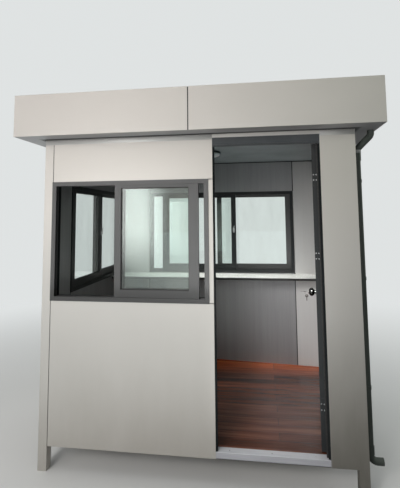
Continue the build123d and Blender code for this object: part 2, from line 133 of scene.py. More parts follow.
surround_colour = (0.74, 0.765, 0.765, 1)
surround = bpy.data.worlds.new("surround")
surround.use_nodes = True
scene.world = surround
tree = surround.node_tree
tree.nodes.clear()
looked_at, glossy = rays(tree)
light = put(tree, "Background", Color=(0.96, 0.99, 1.0, 1))
sideways = coordinate(tree, "X", "Generated")
tree.links.new(between(sideways, -0.6, 0.5, 0.42, 0.14), light.inputs["Strength"])
sight = put(tree, "Background", Color=surround_colour, Strength=1.0)
gloss = put(tree, "Background")
greener = between(sideways, -0.02, 0.24, 0.0, 1.0, smooth=True)
tree.links.new(mixed(greener, (0.80, 0.75, 0.725), (0.79, 0.88, 0.76)), gloss.inputs["Color"])
upward = coordinate(tree, "Z", "Generated")
lower_right = worked("ADD", sideways, between(upward, -0.05, 0.20, 0.05, 0.0))
dark_share = between(lower_right, 0.12, 0.42, 0.0, 1.0, smooth=True)
dark_tone = between(upward, -0.05, 0.30, -0.82, -0.62)
dark_side = worked("MULTIPLY_ADD", dark_share, dark_tone, 0.90)
far_side = between(sideways, 0.5, 0.9, 0.0, 0.6, smooth=True)
tree.links.new(worked("ADD", dark_side, far_side), gloss.inputs["Strength"])
unseen = blended(glossy, light.outputs[0], gloss.outputs[0])
tree.links.new(blended(looked_at, unseen, sight.outputs[0]), put(tree, "OutputWorld").inputs[0])


def soft_lamp(name, place, aim, size, power, tint, spread=180, in_gloss=False):
    """A rectangular lamp at place that shines at aim; the camera never sees it."""
    lamp = bpy.data.objects.new(name, bpy.data.lights.new(name, "AREA"))
    lamp.data.shape = "RECTANGLE"
    lamp.data.size, lamp.data.size_y = size
    lamp.data.energy = power
    lamp.data.color = tint
    lamp.data.spread = math.radians(spread)
    lamp.location = place
    lamp.rotation_euler = (Vector(aim) - Vector(place)).to_track_quat("-Z", "Y").to_euler()
    lamp.visible_camera = False
    lamp.visible_glossy = in_gloss
    scene.collection.objects.link(lamp)
    return lamp


soft_lamp("key", (-3.0, -5.5, 2.5), (-0.2, -0.7, 1.4), (5.0, 4.4), 165, (1.0, 0.955, 0.93))
soft_lamp("beam", (-1.5, -4.6, 2.6), (0.2, 0.0, 1.2), (1.0, 1.0), 60, (1.0, 0.96, 0.94))
soft_lamp("doorway", (0.35, -0.98, 0.85), (0.78, 0.68, 0.55), (0.5, 1.0), 1.8, (1.0, 0.975, 0.955),
          spread=80)
soft_lamp("overhead", (0.0, -0.5, 6.0), (0.0, 0.0, 1.2), (5.0, 5.0), 70, (1.0, 1.0, 1.0), in_gloss=True)
soft_lamp("right_side", (5.0, 0.8, 2.4), (0.5, 0.1, 1.2), (3.5, 3.0), 60, (0.97, 0.99, 1.0))
soft_lamp("daylight", (-0.27, -3.3, 2.45), (0.62, 0.68, 0.62), (0.5, 0.4), 1.8, (1.0, 0.98, 0.96),
          spread=22)
soft_lamp("shelf", (0.05, 0.47, 1.95), (0.05, 0.53, 1.04), (1.5, 0.12), 2.3, (1.0, 1.0, 0.97), spread=60)
glint = soft_lamp("glint", (0.715, -0.40, 1.25), (0.745, -0.08, 1.014), (0.55, 0.10), 1.0, (1.0, 1.0, 1.0),
                  spread=56, in_gloss=True)
for kind in ("diffuse", "transmission", "volume_scatter"):
    setattr(glint, "visible_" + kind, False)
soft_lamp("behind", (0.6, 5.2, 3.2), (0.0, 0.6, 1.2), (3.5, 3.0), 115, (0.98, 1.0, 0.99))

bpy.ops.mesh.primitive_plane_add(size=1, location=(-1.6, -5.2, 1.3), rotation=(math.pi / 2, 0, 0))
card = bpy.context.object
card.name = "gloss_card"
card.scale = (2.0, 2.4, 1)
bpy.ops.object.transform_apply(location=True, rotation=True, scale=True)
for kind in ("camera", "diffuse", "transmission", "shadow", "volume_scatter"):
    setattr(card, "visible_" + kind, False)
paper = bpy.data.materials.new("gloss_card")
paper.use_nodes = True
tree = paper.node_tree
tree.nodes.clear()
across = between(coordinate(tree, "X"), -1.75, -1.1, 1.0, 0.0, smooth=True)
left_edge = between(coordinate(tree, "X"), -2.6, -2.2, 0.0, 1.0, smooth=True)
up = between(coordinate(tree, "Z"), 0.45, 1.5, 0.0, 1.0, smooth=True)
shape = worked("MULTIPLY", worked("MULTIPLY", across, up), left_edge)
clear = put(tree, "BsdfTransparent")
glow = put(tree, "Emission", Color=(1.0, 0.99, 0.98, 1), Strength=5.5)
tree.links.new(blended(shape, clear.outputs[0], glow.outputs[0]), put(tree, "OutputMaterial").inputs[0])
card.data.materials.append(paper)

bpy.ops.mesh.primitive_plane_add(size=80, location=(0, 0, 0))
ground = bpy.context.object
ground.name = "studio_floor"
paint = bpy.data.materials.new("studio_floor")
paint.use_nodes = True
tree = paint.node_tree
near = tree.nodes["Principled BSDF"]
near.inputs["Roughness"].default_value = 0.9
looked_at, glossy = rays(tree)
tree.links.new(mixed(looked_at, (0.66, 0.66, 0.65), (0.66, 0.67, 0.66)), near.inputs["Base Color"])
where = put(tree, "TexCoord")
length = put(tree, "VectorMath", operation="LENGTH")
tree.links.new(where.outputs["Object"], length.inputs[0])
away = length.outputs["Value"]
to_right = worked("DIVIDE", coordinate(tree, "X"), away)
brighter = between(to_right, -0.5, -0.12, 1.0, 1.6, smooth=True)
darker = between(to_right, 0.08, 0.34, 1.0, 0.06, smooth=True)
in_gloss = worked("MULTIPLY", brighter, darker)
glow = put(tree, "Emission", Color=surround_colour)
tree.links.new(worked("MULTIPLY_ADD", worked("SUBTRACT", 1.0, in_gloss), looked_at, in_gloss),
               glow.inputs["Strength"])
faded = worked("MULTIPLY", between(away, 1.6, 5.5, 0.0, 1.0, smooth=True), looked_at)
far_off = between(away, 1.0, 3.0, 0.0, 1.0, smooth=True)
far_right = between(to_right, 0.2, 0.45, 0.0, 1.0, smooth=True)
faded_in_gloss = worked("MULTIPLY", worked("MAXIMUM", far_off, far_right), glossy)
fade = worked("MAXIMUM", faded, faded_in_gloss)
tree.links.new(blended(fade, near.outputs[0], glow.outputs[0]),
               tree.nodes["Material Output"].inputs[0])
ground.data.materials.append(paint)


# Legs, wall panels and roof edge are clad in silver-grey sheet with a fine upright
# brushing. It is folded round its edges and not quite flat. Outside it is darker
# towards the ground, from dust and painted shade, and right of the door the darkening
# is stronger, a painted shade.
def new_finish(name, **settings):
    """A material, its node tree and its shader; even settings go on the shader itself."""
    made = bpy.data.materials.new(name)
    made.use_nodes = True
    shader = made.node_tree.nodes["Principled BSDF"]
    for key, value in settings.items():
        shader.inputs[key.replace("_", " ")].default_value = value
    return made, made.node_tree, shader


def grain(tree, stretch, detail=3.0, roughness=0.55):
    """Noise on the piece's own coordinates, stretch repeats a metre along X, Y and Z."""
    where = put(tree, "TexCoord")
    mapping = put(tree, "Mapping")
    mapping.inputs["Scale"].default_value = stretch
    tree.links.new(where.outputs["Object"], mapping.inputs["Vector"])
    noise = put(tree, "TexNoise", Scale=1.0, Detail=detail, Roughness=roughness)
    tree.links.new(mapping.outputs["Vector"], noise.inputs["Vector"])
    return noise.outputs["Fac"]


def sum_of(a, share_a, b, share_b):
    """share_a of a and share_b of b, added."""
    return worked("MULTIPLY_ADD", b, share_b, worked("MULTIPLY", a, share_a))


def tones(value, *stops):
    """Colours along a value, given as (place, colour)."""
    tree = value.id_data
    ramp = put(tree, "ValToRGB")
    while len(ramp.color_ramp.elements) < len(stops):
        ramp.color_ramp.elements.new(0.5)
    for element, (place, colour) in zip(ramp.color_ramp.elements, stops):
        element.position = place
        element.color = (*colour, 1)
    tree.links.new(value, ramp.inputs[0])
    return ramp.outputs["Color"]


def feed(shader, **values):
    """Links values to the shader's inputs."""
    for key, value in values.items():
        shader.id_data.links.new(value, shader.inputs[key.replace("_", " ")])


def relief(shader, height, depth, round_edge=0.0):
    """Bump of that depth in metres, on edges that look rounded by round_edge."""
    tree = shader.id_data
    bump = put(tree, "Bump", Strength=1.0, Distance=depth)
    tree.links.new(height, bump.inputs["Height"])
    if round_edge:
        soft = put(tree, "Bevel", samples=4, Radius=round_edge)
        tree.links.new(soft.outputs[0], bump.inputs["Normal"])
    feed(shader, Normal=bump.outputs[0])


def plain_finish(name, stretch, detail, dark, pale, smooth=None, rough=None, bump=0.0, round_edge=0.0,
                 **settings):
    """A finish whose colour, roughness and bump all follow one grain."""
    made, tree, shader = new_finish(name, **settings)
    value = grain(tree, stretch, detail)
    feed(shader, Base_Color=tones(value, (0.3, dark), (0.7, pale)))
    if smooth is not None:
        feed(shader, Roughness=between(value, 0.3, 0.7, smooth, rough))
    if bump:
        relief(shader, value, bump, round_edge)
    return made


def dress(finish, *names):
    """Puts a finish on CAD nodes."""
    for name in names:
        for slot in nodes[name].material_slots:
            slot.material = finish


def inside_room(tree):
    """1 on faces that look into the room, 0 on the outside."""
    within_x, within_y = 0.946, 0.686
    off_x = worked("LESS_THAN", worked("ABSOLUTE", coordinate(tree, "X")), within_x)
    off_y = worked("LESS_THAN", worked("ABSOLUTE", coordinate(tree, "Y")), within_y)
    return worked("MULTIPLY", off_x, off_y)


def silver_sheet(name, inner_dark, inner_pale, inner_metal):
    """Brushed sheet, warmer outside and darker there towards the ground from dust and painted shade. The
    room side takes the given tones, which paint the room's light and shade.
    """
    made, tree, shader = new_finish(name, Anisotropic=0.45)
    across = put(tree, "Tangent", direction_type="RADIAL", axis="Z")
    feed(shader, Tangent=across.outputs[0])
    inner = inside_room(tree)
    brushing = grain(tree, (420, 420, 5), detail=2)
    broad = grain(tree, (1.3, 1.3, 0.8), detail=2)
    streaks = grain(tree, (22, 22, 0.4), detail=3)
    plain = sum_of(broad, 0.9, brushing, 0.1)
    brushed = sum_of(sum_of(brushing, 0.25, broad, 0.35), 1.0, streaks, 0.3)
    outer_colour = tones(plain, (0.30, (0.575, 0.558, 0.528)), (0.70, (0.622, 0.606, 0.576)))
    leg_end, dust_and_shade_top = 0.14, 1.0
    door_side, pier_side = 0.785, 0.80
    # Towards the ground the outside darkens: dust, and painted shade.
    low = between(coordinate(tree, "Z"), leg_end, dust_and_shade_top, 0.42, 0.0)
    # Right of the door the darkening is made stronger: a painted shade on the pier.
    pier_painted_shade = between(coordinate(tree, "X"), door_side, pier_side, 1.0, 2.4)
    low = worked("MULTIPLY", low, pier_painted_shade)
    spread = between(grain(tree, (6, 6, 2.0), detail=5), 0.3, 0.75, 0.5, 1.0)
    outer_colour = mixed(worked("MULTIPLY", low, spread), outer_colour, (0.33, 0.315, 0.27))
    # The room-side tones paint the light and shade inside the room.
    inner_colour = tones(brushed, (0.32, inner_dark), (0.68, inner_pale))
    feed(shader, Base_Color=mixed(inner, outer_colour, inner_colour))
    feed(shader, Metallic=between(inner, 0.0, 1.0, 0.82, inner_metal))
    satin = between(plain, 0.3, 0.7, 0.38, 0.46)
    polish = between(brushed, 0.3, 0.7, 0.42, 0.48)
    gap = worked("SUBTRACT", polish, satin)
    feed(shader, Roughness=worked("MULTIPLY_ADD", gap, inner, satin))
    relief(shader, plain, 0.0001, 0.0016)
    return made


# Its room-side tones are far darker than outside: a painted shade of the room.
clad = silver_sheet("silver_sheet", (0.29, 0.29, 0.297), (0.42, 0.42, 0.428), 0.7)
dress(clad, "corner_posts", "front_lower_panel", "front_upper_panel", "front_mullion", "front_pier",
      "door_lower_panel")
for side in ("left", "right", "back"):
    dress(clad, side + "_lower_panel", side + "_upper_panel", side + "_piers")
# The back piers get paler room-side tones: painted light from the doorway falling there.
painted_light_clad = silver_sheet("silver_sheet_painted_light", (0.49, 0.487, 0.483), (0.57, 0.566, 0.562), 0.4)
dress(painted_light_clad, "back_piers")

# The roof edge is folded from the same sheet. Sealant is smeared along its seam in
# the middle.
seam_smear, smear_end = 0.0032, 0.0038
edge_clad, tree, shader = new_finish("silver_edge_sheet", Metallic=0.8)
broad = grain(tree, (1.1, 1.1, 1.6), detail=2)
edge_tone = tones(broad, (0.30, (0.575, 0.558, 0.53)), (0.70, (0.62, 0.603, 0.575)))
smear = between(worked("ABSOLUTE", coordinate(tree, "X")), seam_smear, smear_end, 1.0, 0.0)
feed(shader, Base_Color=mixed(smear, edge_tone, (0.05, 0.052, 0.052)),
     Roughness=between(broad, 0.3, 0.7, 0.42, 0.50))
relief(shader, broad, 0.0003, 0.0016)
dress(edge_clad, "front_fascia", "back_fascia", "left_fascia", "right_fascia", "door_head_strip")

# The base is welded from steel tube in a dull dark primer, dusty and scuffed.
# Tubes of the same kind carry the roof edge, in zinc grey.
primer, tree, shader = new_finish("dark_primer")
patches = grain(tree, (14, 14, 14), detail=6, roughness=0.65)
feed(shader, Base_Color=tones(patches, (0.35, (0.022, 0.024, 0.024)), (0.55, (0.05, 0.05, 0.046)),
                              (0.72, (0.13, 0.115, 0.09))),
     Roughness=between(patches, 0.3, 0.7, 0.5, 0.85))
relief(shader, patches, 0.0008, 0.002)
dress(primer, "base_frame")

zinc, tree, shader = new_finish("zinc_primer", Metallic=0.5)
spangle = grain(tree, (60, 60, 60), detail=4)
feed(shader, Base_Color=tones(spangle, (0.35, (0.20, 0.21, 0.21)), (0.65, (0.34, 0.35, 0.35))),
     Roughness=between(spangle, 0.3, 0.7, 0.4, 0.6))
relief(shader, spangle, 0.0003, 0.0015)
dress(zinc, "fascia_ring", "fascia_brackets", "roof_purlins", "gutter")

# Cement board lies on the joists, and a glossy wood-look sheet lies on it. The
# sheet has boards printed along it and curls up at the back wall, where its print is
# painted lighter and more orange, a painted light.
board = plain_finish("cement_board", (90, 90, 90), 6, (0.26, 0.25, 0.23), (0.42, 0.41, 0.38),
                     bump=0.0006, Roughness=0.9)
dress(board, "floor_deck")

curl_foot, curl_face = 0.192, 0.212
vinyl, tree, shader = new_finish("wood_look_sheet", Roughness=0.26, Specular_IOR_Level=0.28,
                                 Coat_Weight=0.1, Coat_Roughness=0.10)
where = put(tree, "TexCoord")
boards = put(tree, "TexBrick", offset=0.43, squash=1.0)
boards.inputs["Color1"].default_value = (0.12, 0.12, 0.12, 1)
boards.inputs["Color2"].default_value = (0.88, 0.88, 0.88, 1)
boards.inputs["Mortar"].default_value = (0.5, 0.5, 0.5, 1)
for key, value in (("Scale", 1.0), ("Mortar Size", 0.0015), ("Mortar Smooth", 0.1),
                   ("Brick Width", 0.9), ("Row Height", 0.095), ("Bias", 0.0)):
    boards.inputs[key].default_value = value
tree.links.new(where.outputs["Object"], boards.inputs["Vector"])
fibre = grain(tree, (3.0, 110, 110), detail=5, roughness=0.6)
figure = grain(tree, (1.8, 22, 22), detail=4, roughness=0.6)
pick = put(tree, "SeparateColor")
tree.links.new(boards.outputs["Color"], pick.inputs[0])
wood = sum_of(sum_of(fibre, 0.45, figure, 0.40), 1.0, pick.outputs[0], 0.18)
colour = tones(wood, (0.34, (0.036, 0.012, 0.007)), (0.52, (0.120, 0.041, 0.024)),
               (0.70, (0.25, 0.095, 0.056)))
# The curl's lighter, more orange tones are painted light falling on it.
curl_painted_light = tones(wood, (0.34, (0.22, 0.042, 0.009)), (0.54, (0.50, 0.100, 0.022)),
               (0.70, (0.66, 0.185, 0.055)))
colour = mixed(between(coordinate(tree, "Z"), curl_foot, curl_face, 0.0, 1.0), colour, curl_painted_light)
colour = mixed(boards.outputs["Fac"], colour, (0.02, 0.008, 0.005))
feed(shader, Base_Color=colour)
relief(shader, wood, 0.0002)
dress(vinyl, "floor_covering")

# The threshold is a folded plate, rubbed bright on top by feet. Its front is duller
# than its top.
plate_front, plate_top = 0.1885, 0.1895
sill, tree, shader = new_finish("sill_sheet", Metallic=0.2)
scuff = grain(tree, (4, 260, 260), detail=3)
sill_top = tones(scuff, (0.3, (0.66, 0.68, 0.72)), (0.7, (0.80, 0.82, 0.86)))
sill_front = tones(scuff, (0.3, (0.30, 0.31, 0.34)), (0.7, (0.40, 0.41, 0.44)))
on_top = between(coordinate(tree, "Z"), plate_front, plate_top, 0.0, 1.0)
feed(shader, Base_Color=mixed(on_top, sill_front, sill_top),
     Roughness=between(scuff, 0.3, 0.7, 0.28, 0.45))
relief(shader, scuff, 0.0002, 0.001)
dress(sill, "door_threshold")

# Window frames, sashes and the door are drawn aluminium, powder coated in dark grey,
# the door nearly black. The coat has a fine orange-peel surface and a slight sheen.
# On the window frames it is darker towards the bottom, and near black on the room
# side, a painted shade.
dark_below, plain_above = 1.09, 1.17
coat, tree, shader = new_finish("dark_powder_coat", Specular_IOR_Level=0.4, Coat_Weight=0.15,
                                Coat_Roughness=0.28)
peel = grain(tree, (700, 700, 700), detail=2)
soil = grain(tree, (5, 5, 3), detail=5)
coat_tone = tones(soil, (0.3, (0.066, 0.068, 0.069)), (0.7, (0.086, 0.088, 0.089)))
# The frames darken towards the bottom.
darker_near_bottom = between(coordinate(tree, "Z"), dark_below, plain_above, 0.6, 0.0, smooth=True)
coat_tone = mixed(darker_near_bottom, coat_tone, (0.020, 0.021, 0.021))
# Room-side faces are near black: a painted shade.
feed(shader, Base_Color=mixed(inside_room(tree), coat_tone, (0.009, 0.011, 0.012)),
     Roughness=between(soil, 0.3, 0.7, 0.36, 0.5))
relief(shader, peel, 0.00012, 0.001)
for side in ("front", "left", "right", "back"):
    dress(coat, side + "_window_frame", side + "_window_sashes")

door_coat, tree, shader = new_finish("black_powder_coat", Metallic=0.1, Specular_IOR_Level=0.4)
soil = grain(tree, (6, 6, 2), detail=5)
feed(shader, Base_Color=tones(soil, (0.3, (0.010, 0.012, 0.013)), (0.7, (0.020, 0.023, 0.024))),
     Roughness=between(soil, 0.3, 0.7, 0.34, 0.5))
relief(shader, grain(tree, (700, 700, 700), detail=2), 0.00012, 0.001)
dress(door_coat, "door_leaf")

# The door frame has the same coat, duller and darker on the jambs. Its head is
# painted paler, a painted reflection of the sky.
jamb_top, head_bottom = 2.018, 2.021
frame_coat, tree, shader = new_finish("frame_powder_coat", Specular_IOR_Level=0.2)
soil = grain(tree, (6, 6, 3), detail=5)
jamb_tone = tones(soil, (0.3, (0.007, 0.008, 0.009)), (0.7, (0.014, 0.016, 0.017)))
# The head's paler tone is a painted reflection.
head_painted_reflection = tones(soil, (0.3, (0.042, 0.048, 0.052)), (0.7, (0.060, 0.066, 0.070)))
on_head = between(coordinate(tree, "Z"), jamb_top, head_bottom, 0.0, 1.0)
feed(shader, Base_Color=mixed(on_head, jamb_tone, head_painted_reflection),
     Roughness=between(on_head, 0.0, 1.0, 0.92, 0.48))
relief(shader, grain(tree, (700, 700, 700), detail=2), 0.00012, 0.001)
dress(frame_coat, "door_frame")

# The panes are clear float glass with a green tinge, a film of dust and a strong
# reflection.
pane, tree, shader = new_finish("float_glass")
tree.nodes.remove(shader)
clear = put(tree, "BsdfTransparent", Color=(0.93, 0.965, 0.95, 1))
mirror = put(tree, "BsdfGlossy", Color=(0.93, 0.97, 0.96, 1), Roughness=0.015)
slant = put(tree, "LayerWeight", Blend=0.5)
straight_on = 0.043
reflected = worked("MULTIPLY_ADD", worked("POWER", slant.outputs["Facing"], 5.0),
                   1.0 - straight_on, straight_on)
body = blended(reflected, clear.outputs[0], mirror.outputs[0])
dust = put(tree, "BsdfDiffuse", Color=(0.62, 0.62, 0.59, 1))
film = between(grain(tree, (9, 9, 3), detail=6), 0.35, 0.8, 0.005, 0.06)
tree.links.new(blended(film, body, dust.outputs[0]), tree.nodes["Material Output"].inputs[0])
dress(pane, "window_glass", "door_glass")


# Each pane is held by a black rubber seal on both faces. The seal is a thin ring
# pressed between the glass and the sash, with its edge rounded over.
sides = ("front", "right", "back", "left")
wall_x, wall_y = 1.0, 0.74


def wall_place(side):
    """From a wall's own frame, X along it and Y inward from its outer face, to the booth's."""
    turn = math.radians({"front": 0, "right": 90, "back": 180, "left": -90}[side])
    reach = wall_y if side in ("front", "back") else wall_x
    return Matrix.Rotation(turn, 4, "Z") @ Matrix.Translation((0, -reach, 0))


def separate_boxes(node):
    """The low and high corner of every solid in a CAD node."""
    mesh = nodes[node].data
    group = {}

    def lead(key):
        while group[key] != key:
            key = group[key]
        return key

    for face in mesh.polygons:
        keys = [tuple(round(c, 5) for c in mesh.vertices[v].co) for v in face.vertices]
        for key in keys:
            group.setdefault(key, key)
        for key in keys[1:]:
            group[lead(key)] = lead(keys[0])
    solids = {}
    for key in group:
        solids.setdefault(lead(key), []).append(key)
    return [(Vector(map(min, *keys)), Vector(map(max, *keys))) for keys in solids.values()]


def boxes_in_wall(node, side):
    """Boxes of a node's solids that lie in this wall, in the wall's frame."""
    found = []
    outermost, innermost = -0.02, 0.08
    inward = wall_place(side).inverted()
    for low, high in separate_boxes(node):
        a, b = inward @ low, inward @ high
        low, high = Vector(map(min, a, b)), Vector(map(max, a, b))
        if low.y > outermost and high.y < innermost:
            found.append((low, high))
    return sorted(found, key=lambda box: (box[0].x, box[0].y))


def apply_place(piece):
    bpy.ops.object.select_all(action="DESELECT")
    piece.select_set(True)
    bpy.context.view_layer.objects.active = piece
    bpy.ops.object.transform_apply(location=True, rotation=True, scale=True)


smooth_angle = math.radians(35)


def softened(piece, width, segments=2):
    """Leaves edit mode, bevels the edges of a piece and smooths what is nearly flat."""
    if piece.mode == "EDIT":
        bpy.ops.object.mode_set(mode="OBJECT")
    bevel = piece.modifiers.new("edge", "BEVEL")
    bevel.width = width
    bevel.segments = segments
    bevel.limit_method = "ANGLE"
    bevel.angle_limit = math.radians(30)
    apply_place(piece)
    bpy.ops.object.modifier_apply(modifier="edge")
    bpy.ops.object.shade_smooth_by_angle(angle=smooth_angle)
    return piece


def flat_ring(x0, x1, z0, z1, width, y0, y1):
    """A rectangular ring, width wide inside these edges, from depth y0 to y1."""
    bpy.ops.mesh.primitive_plane_add(size=1, location=((x0 + x1) / 2, y0, (z0 + z1) / 2),
                                     rotation=(math.pi / 2, 0, 0))
    piece = bpy.context.object
    piece.scale = (x1 - x0, z1 - z0, 1)
    apply_place(piece)
    bpy.ops.object.mode_set(mode="EDIT")
    bpy.ops.mesh.select_all(action="SELECT")
    bpy.ops.mesh.inset(thickness=width, depth=0)
    bpy.ops.mesh.delete(type="FACE")
    bpy.ops.mesh.select_all(action="SELECT")
    bpy.ops.mesh.extrude_region_move(TRANSFORM_OT_translate={"value": (0, y1 - y0, 0)})
    bpy.ops.mesh.select_all(action="SELECT")
    bpy.ops.mesh.normals_make_consistent(inside=False)
    bpy.ops.object.mode_set(mode="OBJECT")
    return piece


def merged(pieces):
    """Joins these pieces into the first one."""
    bpy.ops.object.select_all(action="DESELECT")
    for piece in pieces:
        piece.select_set(True)
    bpy.context.view_layer.objects.active = pieces[0]
    if len(pieces) > 1:
        bpy.ops.object.join()
    return pieces[0]


def joined(pieces, name, finish, place=Matrix(), body="booth"):
    """Makes one named piece of several, moves it to its place and says what it rides on."""
    whole = merged(pieces)
    whole.name = whole.data.name = name
    whole.matrix_world = place @ whole.matrix_world
    apply_place(whole)
    whole.data.materials.clear()
    whole.data.materials.append(finish)
    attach(whole, body)
    bpy.ops.object.select_all(action="DESELECT")
    return whole


rubber = plain_finish("black_rubber", (120, 120, 120), 4, (0.012, 0.012, 0.012), (0.030, 0.030, 0.029),
                      bump=0.0001, Roughness=0.6)

pocket = 0.008
seal_width = 0.004
seal_proud = 0.0035
for side in sides:
    seals = []
    for low, high in boxes_in_wall("window_glass", side):
        for face, way in ((low.y, -1), (high.y, 1)):
            seals.append(flat_ring(low.x + pocket, high.x - pocket, low.z + pocket, high.z - pocket,
                                   seal_width, face, face + way * seal_proud))
            softened(seals[-1], 0.0012)
    joined(seals, side + "_glass_seals", rubber, wall_place(side))

# Where two wall panels meet there is a gap of four millimetres, filled with black
# joint rubber that lies a little back outside and has a thin lip over both panels
# inside. A black bead closes the joint between the walls and the ceiling.
panel_seam = 0.004
wall_thickness = 0.058
seam_depth = 0.002
joint_lip = 0.002
lip_rise = 0.001
lip_foot = 0.003
floor_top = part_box("floor_deck")[1][2]


def block(centre, size, turned=0.0):
    """A box of this size round this centre, turned about Z."""
    bpy.ops.mesh.primitive_cube_add(size=1, location=centre, rotation=(0, 0, turned))
    made = bpy.context.object
    made.scale = size
    apply_place(made)
    return made


def rubber_bar(low, high, width):
    """A bar between these corners with its edges rounded over."""
    low, high = Vector(low), Vector(high)
    return softened(block((low + high) / 2, high - low), width)


for side in sides:
    bars = []
    for level in ("lower", "upper"):
        low, high = boxes_in_wall(side + "_" + level + "_panel", side)[0]
        bottom = max(low.z, floor_top)
        lip_bottom = bottom + lip_foot if level == "lower" else bottom
        inner = wall_thickness - seam_depth
        edges = [low.x - panel_seam] if side == "front" else [low.x - panel_seam, high.x]
        for x in edges:
            bars.append(rubber_bar((x, seam_depth, bottom), (x + panel_seam, inner, high.z), 0.0008))
            bars.append(rubber_bar((x - joint_lip, inner, lip_bottom),
                                   (x + panel_seam + joint_lip, wall_thickness + lip_rise, high.z), 0.0005))
    joined(bars, side + "_panel_joints", rubber, wall_place(side))

room_low, room_high = Vector((-0.942, -0.682, 0)), Vector((0.942, 0.682, 0))
room_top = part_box("ceiling_panel")[0][2]
bead = 0.007
bead_round = 0.0012
bead_under = room_top - bead
bars = []
for x in (room_low.x, room_high.x - bead):
    bars.append(rubber_bar((x, room_low.y, bead_under), (x + bead, room_high.y, room_top), bead_round))
for y in (room_low.y, room_high.y - bead):
    bars.append(rubber_bar((room_low.x + bead, y, bead_under), (room_high.x - bead, y + bead, room_top),
                           bead_round))
joined(bars, "ceiling_bead", rubber)

# The seam in the middle of the front and back roof edge is filled with joint
# sealant, and a dark bead of it closes the corner between walls and soffit.
fascia_low, fascia_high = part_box("front_fascia")
filling_depth, filling_back = 0.006, 0.0002
filling_foot, filling_head = 0.0005, 0.005
for side, way in (("front", -1), ("back", 1)):
    face = way * abs(fascia_low[1])
    inner = face - way * filling_depth
    outer = face - way * filling_back
    filling = rubber_bar((-panel_seam / 2, min(inner, outer), fascia_low[2] + filling_foot),
                         (panel_seam / 2, max(inner, outer), fascia_high[2] - filling_head), 0.0006)
    joined([filling], side + "_fascia_joint", rubber)

soffit_bead = 0.0025
bead_under = room_top - soffit_bead
bars = []
for x in (-wall_x - soffit_bead, wall_x):
    bars.append(rubber_bar((x, -wall_y - soffit_bead, bead_under),
                           (x + soffit_bead, wall_y + soffit_bead, room_top), 0.0008))
for y in (-wall_y - soffit_bead, wall_y):
    bars.append(rubber_bar((-wall_x, y, bead_under), (wall_x, y + soffit_bead, room_top), 0.0008))
joined(bars, "soffit_bead", rubber)

# A thin flat strip of the same sheet is glued along the top of each wall, over the
# upper ends of the panels and right under the soffit. It is toned darker than the sheet,
# a painted shade of the roof edge, and its upper edge is painted paler, a painted light.
trim_height = 0.036
trim_proud = 0.0012
trim_gap = 0.0005
painted_light_from, painted_light_to = 2.080, 2.103
trim_sheet, tree, shader = new_finish("trim_sheet", Metallic=0.7)
broad = grain(tree, (2, 2, 2), detail=3)
# The strip's darker tone is a painted shade under the roof edge.
strip_painted_shade_tone = tones(broad, (0.3, (0.41, 0.41, 0.40)), (0.7, (0.46, 0.46, 0.45)))
# Its top edge is painted paler: painted light against the shade under the soffit.
top_painted_light = between(coordinate(tree, "Z"), painted_light_from, painted_light_to, 0.0, 1.0)
feed(shader, Base_Color=mixed(top_painted_light, strip_painted_shade_tone, (0.64, 0.635, 0.62)),
     Roughness=between(broad, 0.3, 0.7, 0.36, 0.46))
relief(shader, broad, 0.0001, 0.0008)
door_from, door_to = 0.130, 0.791
for side in sides:
    reach = wall_x if side in ("front", "back") else wall_y
    over = trim_proud if side in ("front", "back") else 0.0
    first, last = -reach - over, reach + over
    runs = [(first, door_from), (door_to, last)] if side == "front" else [(first, last)]
    strips = [rubber_bar((x0, -trim_proud, room_top - trim_height), (x1, 0.0, room_top - trim_gap), 0.0004)
              for x0, x1 in runs]
    joined(strips, side + "_wall_trim", trim_sheet, wall_place(side))

# A crescent latch stands on the meeting stile of each inner sash, on the room
# side: a cast plate on two screws, a turning hub and a curved lever.
def picked(piece, wanted):
    """Selects the faces that wanted(face) is true for, and goes into edit mode."""
    bpy.context.view_layer.objects.active = piece
    bpy.ops.object.mode_set(mode="EDIT")
    bpy.ops.mesh.select_mode(type="FACE")
    bpy.ops.mesh.select_all(action="DESELECT")
    bpy.ops.object.mode_set(mode="OBJECT")
    for face in piece.data.polygons:
        face.select = wanted(face)
    bpy.ops.object.mode_set(mode="EDIT")


def drawn_out(shift, scale=(1, 1, 1)):
    """Extrudes the picked faces by shift and scales them."""
    bpy.ops.mesh.extrude_region_move(TRANSFORM_OT_translate={"value": shift})
    bpy.ops.transform.resize(value=scale)


def inset_end(piece, way, *steps):
    """Insets the faces that look this way, once for each (thickness, depth)."""
    picked(piece, lambda face: face.normal.dot(Vector(way)) > 0.9)
    for thickness, depth in steps:
        bpy.ops.mesh.inset(thickness=thickness, depth=depth)
    bpy.ops.object.mode_set(mode="OBJECT")


def round_bar(vertices, radius, depth, centre, axis="Z"):
    """A round bar along an axis, round this centre."""
    turned = {"X": (0, math.pi / 2, 0), "Y": (math.pi / 2, 0, 0), "Z": (0, 0, 0)}[axis]
    bpy.ops.mesh.primitive_cylinder_add(vertices=vertices, radius=radius, depth=depth, location=centre,
                                        rotation=turned)
    bar = bpy.context.object
    apply_place(bar)
    return bar


def cut_out(piece, cutter):
    """Cuts one piece out of another and removes it."""
    cut = piece.modifiers.new("cut", "BOOLEAN")
    cut.operation = "DIFFERENCE"
    cut.solver = "EXACT"
    cut.object = cutter
    apply_place(piece)
    bpy.ops.object.modifier_apply(modifier="cut")
    bpy.data.objects.remove(cutter)


